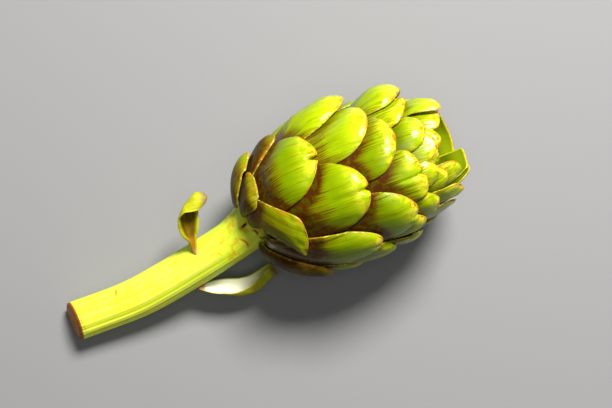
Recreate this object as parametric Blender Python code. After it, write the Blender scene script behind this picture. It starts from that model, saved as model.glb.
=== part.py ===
# Globe artichoke, as picked, lying on its side.
#
# Metres, +Z up. It rests on the plane Z = 0, with the origin under the middle of its length and width,
# and +X points from the cut end of the stem to the tip of the head. The head is a stack of thin curved
# bracts that overlap like roof tiles. Each one follows the head's outline at its own depth: the bracts
# with the lowest tips lie on the outside, and every later one slips under those before it.

import math

import bmesh
import bpy
import numpy as np
from mathutils import Matrix, Vector

# Head outline. A station is a distance along the head's axis from the centre of its base.
HEAD_RADIUS = 0.040
BACK_STATION = -0.010
WIDEST_STATION = 0.044
FRONT_STATION = 0.105
BACK_POWER, BACK_ROOT = 2.6, 0.36
FRONT_POWER, FRONT_ROOT = 2.8, 0.64
OUTLINE_POINTS = 361

# Where the head lies
HEAD_BASE = Vector((0.0039, 0.0005, 0.0307))
HEAD_TILT = math.radians(12)

# The head is a little flatter on its right side, towards the top
FLAT_SHARE = 0.10
FLAT_ANGLE = math.radians(100)
FLAT_FROM, FLAT_TO = 0.035, 0.085

# Bract shells: the step from the first layer to the next and how fast it shrinks, and how many layers end
# within the first 100 mm of the head: some evenly, the rest crowded near the tip
LAYER_STEP = 0.0019
LAYER_SHRINK = 0.000025
EVEN_LAYERS = 6
CROWDED_LAYERS = 9
CROWDING_POWER = 7
COUNTED_LENGTH = 0.100
THICKNESS_SHARE = 0.56
CLEARANCE = 0.0006
SIDE_GAP = 2
TIP_FLAT = 0.16
LIFT_POWER = 6

# Mesh of a bract or a leaf, and how it is shaded
BLANK_COLUMNS = 6
BLANK_ROWS = 8
SHARP_ANGLE = math.radians(50)
MERGE_DISTANCE = 0.000001

# Each bract: its angle round the head in degrees (0 on top), the station of its tip in mm, its half-width
# in degrees, how broad its tip is (half its width in mm at 1 mm from the tip), how far the tip stands off
# in mm, and how many degrees it leans to one side for each mm down from its tip
BRACTS = {
    "base_bract_01": (-63, 6, 37, 4.4, 0, 0),
    "base_bract_02": (205, 9, 28, 4.4, 0, 0),
    "base_bract_03": (-23, 7.0, 18, 6.5, 0.5, 0),
    "base_bract_04": (122, 11, 28, 4.4, 0, 0),
    "base_bract_05": (243, 19, 28, 4.4, 0, 0),
    "base_bract_06": (-62, 22, 28, 3.3, 0, 0),
    "base_bract_07": (163, 23, 28, 4.4, 0, 0),
    "base_bract_08": (30, 23.4, 16.5, 9, 3, 1.35),
    "base_bract_09": (74.5, 25, 25, 3.0, 1.5, 0),
    "outer_bract_01": (-27, 41, 32, 5.4, 0, 0),
    "outer_bract_02": (106, 41, 30, 4.4, 0, 0),
    "outer_bract_03": (249, 42, 30, 4.4, 0, 0),
    "outer_bract_04": (178, 43, 30, 4.4, 0, 0),
    "outer_bract_05": (51, 54.5, 20, 3.2, 0, 0),
    "outer_bract_06": (141, 55, 30, 4.4, 0, 0),
    "outer_bract_07": (74, 57, 28, 4.2, 0, 0),
    "outer_bract_08": (-74, 57.5, 31, 4.8, 1, 0),
    "outer_bract_09": (215, 58, 30, 4.4, 0, 0),
    "outer_bract_10": (7, 59, 28, 5.0, 0, 0),
    "middle_bract_01": (-43, 67.5, 28, 5.6, 0, 0),
    "middle_bract_02": (149, 71, 27, 4.2, 0, 0),
    "middle_bract_03": (242, 67, 25, 4.2, 0, 0),
    "middle_bract_04": (92, 70, 27, 4.2, 0, 0),
    "middle_bract_05": (210, 72, 27, 4.2, 0, 0),
    "middle_bract_06": (37, 75, 26, 4.4, 0, 0),
    "middle_bract_07": (60, 76, 25, 4.0, 0, 0),
    "middle_bract_08": (-22, 77, 28, 5.8, 0, 0),
    "middle_bract_09": (181, 79, 26, 4.2, 0, 0),
    "middle_bract_10": (236, 79, 26, 4.2, 0, 0),
    "middle_bract_11": (116, 80, 26, 4.2, 0, 0),
    "middle_bract_12": (12, 84, 23, 6.8, 0, 0),
    "middle_bract_13": (-85, 82.5, 31, 8, 1.5, 0),
    "middle_bract_14": (48, 85.5, 22, 4.0, 0, 0),
    "middle_bract_15": (-57, 84.5, 26, 6.4, 1.5, 0),
    "crown_bract_01": (18, 90, 19, 2.8, 0, 0),
    "crown_bract_02": (80, 90, 23, 3.4, 0, 0),
    "crown_bract_03": (130, 90, 23, 3.4, 0, 0),
    "crown_bract_04": (242, 87, 22, 3.4, 0, 0),
    "crown_bract_05": (-26, 90.5, 21, 4.4, 0, 0),
    "crown_bract_06": (180, 91, 23, 3.4, 0, 0),
    "crown_bract_07": (230, 91, 23, 3.4, 0, 0),
    "crown_bract_08": (-9, 93.3, 20, 3.6, 0, 0),
    "crown_bract_09": (30, 93, 20, 3.4, 0, 0),
    "crown_bract_10": (53, 94, 17, 3.2, 0, 0),
    "crown_bract_11": (105, 94, 23, 3.4, 0, 0),
    "crown_bract_12": (-52, 97, 25, 7, 0, 0),
    "crown_bract_13": (155, 100, 25, 8, 0, 0),
    "crown_bract_14": (-81, 96.6, 25, 12, 0, 0),
    "crown_bract_15": (203, 96, 25, 13, 0, 0),
    "crown_bract_16": (240, 92.5, 25, 8, 0, 0),
    "crown_bract_17": (33, 97.5, 17, 3.4, 0, 0),
    "crown_bract_18": (-15, 95.5, 25, 3.0, 0, 0),
    "crown_bract_19": (118, 99.5, 25, 6, 0, 0),
    "crown_bract_20": (-130, 89, 22, 3.4, 0, 0),
}
LEAN_REACH = 24

# Heart: the thickened top of the stem that the bracts grow from, as stations, radii and how far off the
# axis, from the stem upwards
HEART = [
    (-0.0100, 0.0104, -0.0030), (-0.0060, 0.0125, -0.0020), (0.0000, 0.0180, -0.0006), (0.0070, 0.0200, 0),
    (0.0130, 0.0165, 0), (0.0165, 0.0080, 0),
]

# Stem: points of its centre line from the heart down to the cut, relative to HEAD_BASE, and its radius
# there
STEM = [
    ((-0.0190, -0.0056, -0.0045), 0.0102), ((-0.0360, -0.0105, -0.0095), 0.0102),
    ((-0.0560, -0.0150, -0.0146), 0.0100), ((-0.0760, -0.0177, -0.0184), 0.0098),
    ((-0.1040, -0.0178, -0.0216), 0.0096),
]
STEM_SIDES = 6
CUT_SLANT = 0.27
CUT_REACH = 1.1

# Bud: the stations of its foot and top, its radius, and how blunt it is
BUD_STATIONS = (0.0185, 0.091)
BUD_RADIUS = 0.0184
BUD_ROOT = 0.4
BUD_SIDES = 14

# Stem leaves: points of the midrib relative to HEAD_BASE, half the width there, and where their outer
# face looks
UPPER_LEAF = {
    "midrib": [(-0.0356, -0.0052, 0.0026), (-0.0369, 0.0026, 0.0045), (-0.0353, 0.0125, 0.0080),
               (-0.0285, 0.0183, 0.0125), (-0.0215, 0.0163, 0.0142)],
    "half_width": [0.0026, 0.0050, 0.0064, 0.0056, 0.0034],
    "outer_side": Vector((-0.85, 0.10, -0.50)),
}
LOWER_LEAF = {
    "midrib": [(-0.0398, -0.0234, -0.0128), (-0.0340, -0.0273, -0.0172), (-0.0244, -0.0305, -0.0212),
               (-0.0130, -0.0306, -0.0222), (-0.0042, -0.0295, -0.0202)],
    "half_width": [0.0026, 0.0040, 0.0046, 0.0042, 0.0030],
    "outer_side": Vector((0.10, -0.50, -0.85)),
}
LEAF_CURL = 0.9
LEAF_THICKNESS = 0.0013
MIDRIB_STEP = 0.05

# Colour and roughness of each kind of piece
FINISHES = {
    "base": ((0.20, 0.16, 0.01), 0.35),
    "outer": ((0.26, 0.34, 0.01), 0.35),
    "middle": ((0.32, 0.42, 0.02), 0.35),
    "crown": ((0.42, 0.52, 0.04), 0.35),
    "stem": ((0.72, 0.76, 0.18), 0.45),
    "stem_leaf": ((0.48, 0.50, 0.06), 0.40),
}


def head_outline():
    """Stations and radii along the head's outline, from the back to the front."""
    share = -np.cos(np.linspace(0, math.pi, OUTLINE_POINTS))
    back = share < 0
    reach = np.where(back, WIDEST_STATION - BACK_STATION, FRONT_STATION - WIDEST_STATION)
    fall = np.abs(share) ** np.where(back, BACK_POWER, FRONT_POWER)
    radius = HEAD_RADIUS * (1 - fall) ** np.where(back, BACK_ROOT, FRONT_ROOT)
    return WIDEST_STATION + share * reach, radius


STATION, RADIUS = head_outline()
RUN = np.concatenate(([0], np.cumsum(np.hypot(np.diff(STATION), np.diff(RADIUS)))))
SLOPE = np.unwrap(np.arctan2(np.gradient(RADIUS), np.gradient(STATION)))
HEAD_PLACE = Matrix.Translation(HEAD_BASE) @ Matrix.Rotation(-HEAD_TILT, 4, "Y")


def layer_depth(layer):
    """How far in a layer lies from the first one: the inner bracts are thinner."""
    return layer * (LAYER_STEP - LAYER_SHRINK * layer)


def surface_layer(station):
    """The layer that shows on the outside of the head at a station."""
    share = np.clip(station, 0, None) / COUNTED_LENGTH
    return EVEN_LAYERS * share + CROWDED_LAYERS * share ** CROWDING_POWER


def thickness(layer):
    """A bract takes most of the step to the next layer, and the rest is the gap between them."""
    return THICKNESS_SHARE * (layer_depth(layer + 1) - layer_depth(layer))


def shell_outline(layer):
    """Stations and radii of a layer, point for point with the head's outline."""
    depth = layer_depth(layer) - layer_depth(surface_layer(STATION))
    return STATION + np.sin(SLOPE) * depth, RADIUS - np.cos(SLOPE) * depth


def starting_run(layer):
    """Where a layer leaves the heart: past the last place where one of its faces touches it."""
    heart_stations, heart_radii, sideways = np.array(HEART).T
    heart_reach = heart_radii + np.abs(sideways) + CLEARANCE
    touching = np.zeros(len(RUN), bool)
    for depth in (0, thickness(layer)):
        station, radius = shell_outline(layer)
        station = station + np.sin(SLOPE) * depth
        radius = radius - np.cos(SLOPE) * depth
        heart = np.interp(station, heart_stations, heart_reach, left=heart_reach[0], right=CLEARANCE)
        touching |= radius < heart
    return RUN[np.flatnonzero(touching & (STATION < WIDEST_STATION))[-1] + 1]


def head_point(layer, run, angle, inwards):
    """A point on a layer of the head, at an angle in radians round it, and inwards from its outer face."""
    station, radius = shell_outline(layer)
    slope = np.interp(run, RUN, SLOPE)
    along = np.interp(run, RUN, station) + math.sin(slope) * inwards
    out = np.interp(run, RUN, radius) - math.cos(slope) * inwards
    flat = min(1, max(0, (along - FLAT_FROM) / (FLAT_TO - FLAT_FROM)))
    out *= 1 - FLAT_SHARE * flat * max(0, math.cos(angle - FLAT_ANGLE)) ** 2
    return HEAD_PLACE @ Vector((along, -out * math.sin(angle), out * math.cos(angle)))


def bracts():
    """Every bract as a dictionary, from the lowest tip to the highest, with the layer that it lies in."""
    found = []
    for name, (angle, tip, half_width, tip_width, lift, lean) in BRACTS.items():
        span = lean * LEAN_REACH / 2
        found.append({"name": name, "angle": angle, "tip": tip / 1000, "half": half_width,
                      "tip_width": tip_width, "lift": lift / 1000, "lean": lean,
                      "span_middle": angle - span, "span_half": half_width + span})
    found.sort(key=lambda bract: bract["tip"])
    for place, bract in enumerate(found):
        covering = [other["layer"] for other in found[:place] if side_by_side(bract, other)]
        bract["layer"] = max([surface_layer(bract["tip"]), *(layer + 1 for layer in covering)])
    return found


def side_by_side(bract, other):
    """True if two bracts reach over each other round the head."""
    apart = abs((bract["span_middle"] - other["span_middle"] + 180) % 360 - 180)
    return apart < bract["span_half"] + other["span_half"] + SIDE_GAP


def new_object(name, mesh, kind):
    """The mesh as an object with its own material."""
    color, roughness = FINISHES[kind]
    finish = bpy.data.materials.new(name + "_finish")
    finish.use_nodes = True
    shader = finish.node_tree.nodes["Principled BSDF"]
    shader.inputs["Base Color"].default_value = (*color, 1)
    shader.inputs["Roughness"].default_value = roughness
    mesh.materials.append(finish)
    mesh.shade_smooth()
    mesh.set_sharp_from_angle(angle=SHARP_ANGLE)
    artichoke.objects.link(bpy.data.objects.new(name, mesh))


def blank(columns, rows):
    """A flat bract one unit wide each way, long 0 to 1 and thick 0 to -1, ready to be shaped."""
    grid = bmesh.new()
    bmesh.ops.create_grid(grid, x_segments=columns, y_segments=rows, size=1)
    for corner in grid.verts:
        corner.co.y = (corner.co.y + 1) / 2
    walls = bmesh.ops.extrude_face_region(grid, geom=grid.faces[:])
    for corner in walls["geom"]:
        if isinstance(corner, bmesh.types.BMVert):
            corner.co.z = -1
    bmesh.ops.recalc_face_normals(grid, faces=grid.faces)
    return grid


def shaped(name, grid, place):
    """The blank as a mesh with every corner moved to the place that the function gives."""
    for corner in grid.verts:
        corner.co = place(*corner.co)
    mesh = bpy.data.meshes.new(name)
    grid.to_mesh(mesh)
    grid.free()
    return mesh


def make_bract(bract):
    """One bract: a shell on its own layer, broad over its length and rounded to a blunt tip."""
    start = starting_run(bract["layer"])
    end = np.interp(bract["tip"], STATION, RUN)
    half = math.radians(bract["half"])

    def place(across, along, depth):
        share = (1 - math.cos(math.pi * along)) / 2
        run = start + (end - start) * share
        radius = np.interp(run, RUN, RADIUS)
        from_tip = max(0, end - run) * 1000
        tip_half = bract["tip_width"] * 0.001 * math.sqrt(from_tip) / radius
        wide = half * max(TIP_FLAT, min(1, tip_half / half))
        middle = math.radians(bract["angle"] - bract["lean"] * min(from_tip, LEAN_REACH))
        inwards = -depth * thickness(bract["layer"]) - bract["lift"] * along ** LIFT_POWER
        point = head_point(bract["layer"], run, middle + across * wide, inwards)
        point.z = max(point.z, 0)
        return point

    mesh = shaped(bract["name"], blank(BLANK_COLUMNS, BLANK_ROWS), place)
    new_object(bract["name"], mesh, bract["name"].split("_")[0])


def make_bud():
    """The tight young bracts in the middle of the head, as one egg-shaped body standing on the heart."""
    foot, top = BUD_STATIONS
    ball = bmesh.new()
    bmesh.ops.create_uvsphere(ball, u_segments=BUD_SIDES, v_segments=BUD_SIDES, radius=1)
    for corner in ball.verts:
        share = (1 + corner.co.z) / 2
        ring = math.hypot(corner.co.x, corner.co.y)
        is_pole = ring < MERGE_DISTANCE
        wide = 0 if is_pole else BUD_RADIUS * (4 * share * (1 - share)) ** BUD_ROOT / ring
        station = foot + (top - foot) * share
        corner.co = HEAD_PLACE @ Vector((station, -corner.co.y * wide, corner.co.x * wide))
    bmesh.ops.recalc_face_normals(ball, faces=ball.faces)
    mesh = bpy.data.meshes.new("inner_bud")
    ball.to_mesh(mesh)
    ball.free()
    new_object("inner_bud", mesh, "crown")


def stem_tube(points):
    """A round tube through the points, as a mesh with closed ends."""
    curve = bpy.data.curves.new("stem_path", "CURVE")
    curve.dimensions = "3D"
    curve.bevel_depth = 1
    curve.bevel_resolution = STEM_SIDES
    curve.use_fill_caps = True
    path = curve.splines.new("POLY")
    path.points.add(len(points) - 1)
    for knot, (place, radius) in zip(path.points, points):
        knot.co = (*place, 1)
        knot.radius = radius
    guide = bpy.data.objects.new("stem_path", curve)
    artichoke.objects.link(guide)
    bpy.context.view_layer.update()
    mesh = bpy.data.meshes.new_from_object(guide.evaluated_get(bpy.context.evaluated_depsgraph_get()))
    mesh.name = "stem_and_heart"
    bpy.data.objects.remove(guide)
    return mesh


def make_stem():
    """The stem and the heart on top of it as one piece: a tube of changing width with a slanting cut."""
    points = []
    for station, radius, sideways in reversed(HEART):
        points.append((HEAD_PLACE @ Vector((station, sideways, 0)), radius))
    for place, radius in STEM:
        points.append((HEAD_BASE + Vector(place), radius))
    mesh = stem_tube(points)
    solid = bmesh.new()
    solid.from_mesh(mesh)
    bmesh.ops.remove_doubles(solid, verts=solid.verts, dist=MERGE_DISTANCE)
    cut, radius = points[-1]
    for corner in solid.verts:
        if (corner.co - cut).length < radius * CUT_REACH:
            corner.co.x -= (corner.co.z - cut.z) * CUT_SLANT
        corner.co.z = max(corner.co.z, 0)
    bmesh.ops.recalc_face_normals(solid, faces=solid.faces)
    solid.to_mesh(mesh)
    solid.free()
    new_object("stem_and_heart", mesh, "stem")


def make_stem_leaf(name, leaf):
    """A small leaf on the stem: a trough along its midrib, with the outer face away from the stem."""
    midrib = np.array(leaf["midrib"]) + np.array(HEAD_BASE)
    knots = np.linspace(0, 1, len(midrib))

    def place(across, along, depth):
        centre = Vector(np.interp(along, knots, column) for column in midrib.T)
        ahead = Vector(np.interp(along + MIDRIB_STEP, knots, column) for column in midrib.T)
        behind = Vector(np.interp(along - MIDRIB_STEP, knots, column) for column in midrib.T)
        forward = (ahead - behind).normalized()
        outer = (leaf["outer_side"] - forward * leaf["outer_side"].dot(forward)).normalized()
        side = forward.cross(outer)
        half = np.interp(along, knots, leaf["half_width"])
        curl = across * LEAF_CURL
        bend = half / LEAF_CURL
        point = centre + side * bend * math.sin(curl) - outer * bend * (1 - math.cos(curl))
        facing = outer * math.cos(curl) + side * math.sin(curl)
        point += facing * depth * LEAF_THICKNESS
        point.z = max(point.z, 0)
        return point

    new_object(name, shaped(name, blank(BLANK_COLUMNS, BLANK_ROWS), place), "stem_leaf")


def main():
    for old in list(bpy.data.objects):
        bpy.data.objects.remove(old)
    for bract in bracts():
        make_bract(bract)
    make_bud()
    make_stem()
    make_stem_leaf("upper_stem_leaf", UPPER_LEAF)
    make_stem_leaf("lower_stem_leaf", LOWER_LEAF)


artichoke = bpy.data.collections.new("artichoke")
bpy.context.scene.collection.children.link(artichoke)
main()
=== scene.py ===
import math
import bpy
import numpy as np
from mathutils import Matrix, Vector


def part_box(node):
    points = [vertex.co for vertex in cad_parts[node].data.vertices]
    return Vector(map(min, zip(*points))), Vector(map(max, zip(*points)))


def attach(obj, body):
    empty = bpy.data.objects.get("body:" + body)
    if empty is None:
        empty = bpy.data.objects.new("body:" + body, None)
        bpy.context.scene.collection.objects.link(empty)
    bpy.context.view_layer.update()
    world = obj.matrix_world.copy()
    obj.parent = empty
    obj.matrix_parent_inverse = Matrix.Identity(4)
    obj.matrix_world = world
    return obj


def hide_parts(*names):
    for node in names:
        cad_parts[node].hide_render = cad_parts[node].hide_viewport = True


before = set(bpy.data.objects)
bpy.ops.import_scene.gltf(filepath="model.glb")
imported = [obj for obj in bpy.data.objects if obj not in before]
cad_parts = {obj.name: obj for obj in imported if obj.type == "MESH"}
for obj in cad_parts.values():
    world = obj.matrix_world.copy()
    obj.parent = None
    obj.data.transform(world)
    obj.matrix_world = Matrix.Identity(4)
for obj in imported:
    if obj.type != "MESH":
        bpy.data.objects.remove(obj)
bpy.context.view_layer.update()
bpy.ops.object.select_all(action="DESELECT")
mm = 0.001
print("frame loaded,", len(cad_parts), "nodes")


def settle(piece, slotName, *nodes):  # a finished piece goes with the head, in place of its CAD nodes
    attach(piece, "root")
    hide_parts(*nodes)


def onlySelect(*things):
    bpy.ops.object.select_all(action="DESELECT")
    for thing in things:
        thing.select_set(True)
    bpy.context.view_layer.objects.active = things[0]


def readPoints(mesh):
    points = np.empty(len(mesh.vertices) * 3, np.float32)
    mesh.vertices.foreach_get("co", points)
    return points.reshape(-1, 3).astype(float)


def writePoints(mesh, points):
    mesh.vertices.foreach_set("co", points.astype(np.float32).ravel())
    mesh.update()


def writeValues(mesh, **values):  # one number or one vector for each vertex, for the materials
    for name, value in values.items():
        kind, field = ("FLOAT_VECTOR", "vector") if np.ndim(value) == 2 else ("FLOAT", "value")
        made = mesh.attributes.new(name, kind, "POINT")
        made.data.foreach_set(field, np.asarray(value, np.float32).ravel())


def ease(low, high, value):  # 0 at low, 1 at high, smooth between
    share = np.clip((value - low) / (high - low), 0, 1)
    return share * share * (3 - 2 * share)


def ripple(seed, x, y):  # a soft random wave, the same on each run
    draw = np.random.default_rng(seed)
    total = np.zeros(np.broadcast(x, y).shape)
    for turn in range(5):
        heading = draw.uniform(0, 2 * math.pi)
        pitch = draw.uniform(0.7, 1.5)
        total += np.sin((x * math.cos(heading) + y * math.sin(heading)) * pitch + draw.uniform(0, 6.3))
    return total / 5


leafLooks = {
    "green": (0.185, 0.285, 0.0), "deepGreenAndShade": (0.082, 0.128, 0.0), "lime": (0.42, 0.56, 0.002),
    "yellow": (0.80, 0.72, 0.03), "umber": (0.150, 0.070, 0.001), "maroon": (0.065, 0.016, 0.001),
    "bronze": (0.175, 0.170, 0.0), "ochre": (0.38, 0.13, 0.002), "cream": (0.75, 0.66, 0.12),
    "rust": (0.26, 0.08, 0.002), "inside": (0.28, 0.36, 0.004), "insideDeepShade": (0.085, 0.125, 0.0),
}


def newGroup(name, inputs, outputs):
    group = bpy.data.node_groups.new(name, "ShaderNodeTree")
    for label, kind, start in inputs:
        made = group.interface.new_socket(label, in_out="INPUT", socket_type=kind)
        if start is not None:
            made.default_value = start
    for label, kind in outputs:
        group.interface.new_socket(label, in_out="OUTPUT", socket_type=kind)
    return group, group.nodes.new("NodeGroupInput"), group.nodes.new("NodeGroupOutput")


def addNode(tree, kind, settings=None, **inputs):
    node = tree.nodes.new(kind)
    for key, value in (settings or {}).items():
        setattr(node, key, value)
    for key, value in inputs.items():
        name = key.replace("_", " ")
        socket = node.inputs[int(key[1:])] if key[0] == "i" and key[1:].isdigit() else node.inputs[name]
        if isinstance(value, bpy.types.NodeSocket):
            tree.links.new(value, socket)
        else:
            socket.default_value = value
    return node


def doMath(tree, operation, first, second=0.0, third=0.0):
    node = addNode(tree, "ShaderNodeMath", {"operation": operation}, i0=first, i1=second, i2=third)
    return node.outputs[0]


def stretchRange(tree, value, low, high, toLow=0.0, toHigh=1.0):
    node = addNode(tree, "ShaderNodeMapRange", {"interpolation_type": "SMOOTHSTEP"}, Value=value,
                   From_Min=low, From_Max=high, To_Min=toLow, To_Max=toHigh)
    return node.outputs[0]


def mixColour(tree, share, first, second, how="MIX"):
    node = addNode(tree, "ShaderNodeMix", {"data_type": "RGBA", "blend_type": how})
    for place, value in ((0, share), (6, first), (7, second)):
        if isinstance(value, bpy.types.NodeSocket):
            tree.links.new(value, node.inputs[place])
        else:
            node.inputs[place].default_value = (*value, 1) if isinstance(value, tuple) else value
    return node.outputs[2]


def streakGroup():  # lines that run along the leaf, from a stretched noise
    inputs = [("Place", "NodeSocketVector", None), ("Across", "NodeSocketFloat", 1.2),
              ("Along", "NodeSocketFloat", 0.08), ("Detail", "NodeSocketFloat", 3.0),
              ("Low", "NodeSocketFloat", 0.4), ("High", "NodeSocketFloat", 0.6)]
    group, start, end = newGroup("leafStreaks", inputs, [("Mask", "NodeSocketFloat")])
    parts = addNode(group, "ShaderNodeSeparateXYZ", Vector=start.outputs["Place"])
    x = doMath(group, "MULTIPLY", parts.outputs[0], start.outputs["Across"])
    y = doMath(group, "MULTIPLY", parts.outputs[1], start.outputs["Along"])
    z = doMath(group, "MULTIPLY", parts.outputs[2], start.outputs["Across"])
    spot = addNode(group, "ShaderNodeCombineXYZ", X=x, Y=y, Z=z)
    noise = addNode(group, "ShaderNodeTexNoise", Vector=spot.outputs[0], Scale=1.0,
                    Detail=start.outputs["Detail"], Roughness=0.6)
    mask = stretchRange(group, noise.outputs["Fac"], start.outputs["Low"], start.outputs["High"])
    group.links.new(mask, end.inputs["Mask"])
    return group


def speckGroup():  # small dark specks, thick in some places and missing in others
    inputs = [("Place", "NodeSocketVector", None), ("Scale", "NodeSocketFloat", 0.5),
              ("Size", "NodeSocketFloat", 0.2), ("Amount", "NodeSocketFloat", 0.5)]
    group, start, end = newGroup("leafSpecks", inputs, [("Mask", "NodeSocketFloat")])
    cells = addNode(group, "ShaderNodeTexVoronoi", Vector=start.outputs["Place"],
                    Scale=start.outputs["Scale"],
                    Randomness=1.0)
    where = addNode(group, "ShaderNodeTexNoise", Vector=start.outputs["Place"], Scale=0.11, Detail=2.0)
    size = doMath(group, "MULTIPLY", start.outputs["Size"], where.outputs["Fac"])
    spots = doMath(group, "SUBTRACT", 1.0, stretchRange(group, cells.outputs["Distance"], 0.0, size))
    chosen = addNode(group, "ShaderNodeSeparateColor", Color=cells.outputs["Color"])
    picked = doMath(group, "LESS_THAN", chosen.outputs[0], start.outputs["Amount"])
    group.links.new(doMath(group, "MULTIPLY", spots, picked), end.inputs["Mask"])
    return group


def blotchGroup():  # soft uneven patches
    inputs = [("Place", "NodeSocketVector", None), ("Scale", "NodeSocketFloat", 0.1),
              ("Low", "NodeSocketFloat", 0.4), ("High", "NodeSocketFloat", 0.6)]
    group, start, end = newGroup("softBlotches", inputs, [("Mask", "NodeSocketFloat")])
    noise = addNode(group, "ShaderNodeTexNoise", Vector=start.outputs["Place"],
                    Scale=start.outputs["Scale"],
                    Detail=3.0, Roughness=0.55)
    mask = stretchRange(group, noise.outputs["Fac"], start.outputs["Low"], start.outputs["High"])
    group.links.new(mask, end.inputs["Mask"])
    return group


leafStreaks = streakGroup()
leafSpecks = speckGroup()
softBlotches = blotchGroup()


def useGroup(tree, group, **inputs):
    node = addNode(tree, "ShaderNodeGroup", {"node_tree": group}, **inputs)
    return node.outputs[0]


def readValue(tree, name):
    node = addNode(tree, "ShaderNodeAttribute", {"attribute_name": name})
    return node.outputs["Fac"]


# what the bracts' skins share: each pair is where a colour starts and where it is full, in mm from the tip,
# the rim
# or a covering bract, or in the flow of brown
bractLooks = {
    # the green pair fades painted shade out from a covering bract
    "green": (0.5, 9.0), "lime": (17.0, 2.0), "limeBroad": 0.22, "limeFine": (0.4, 0.7),
    "patch": (11.0, 0.5), "freckle": (6.0, 1.0), "freckleShare": 0.9, "flowBroad": 0.25,
    "browns": (("bronze", -0.05, 0.50, 0.75), ("umber", 0.25, 0.85, 0.85), ("maroon", 0.47, 1.0, 0.95)),
    "lineFlow": (-0.05, 0.35), "lineTip": (4.0, 9.0), "lineShare": 1.3, "mottle": (0.3, 0.8),
    "mottleShare": 0.35,
    "speckShare": 0.55, "edge": (1.1, 0.3), "edgePatch": (0.75, 0.1), "edgeTip": (18.0, 5.0, 0.25, 1.0),
    "paleRim": (0.30, 0.08), "paleFreckle": (0.5, 0.15), "inner": (3.0, 12.0), "innerRim": (1.0, 0.2),
    "innerRimShare": 0.7, "grainFine": 0.35, "grainDepth": 0.0004,
}
bractFinishes = {
    "base": {"limeShare": 0.15, "patchShare": 0.35, "rough": 0.40, "gloss": 0.08, "grain": 0.08,
             "streak": 0.30},
    "outer": {"limeShare": 0.55, "patchShare": 0.8, "rough": 0.25, "gloss": 0.16, "grain": 0.12,
              "streak": 0.55},
    "middle": {"limeShare": 0.65, "patchShare": 1.0, "rough": 0.24, "gloss": 0.24, "grain": 0.16,
               "streak": 0.60},
    "crown": {"limeShare": 0.85, "patchShare": 1.0, "rough": 0.22, "gloss": 0.40, "grain": 0.25,
              "streak": 0.60},
}


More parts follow.
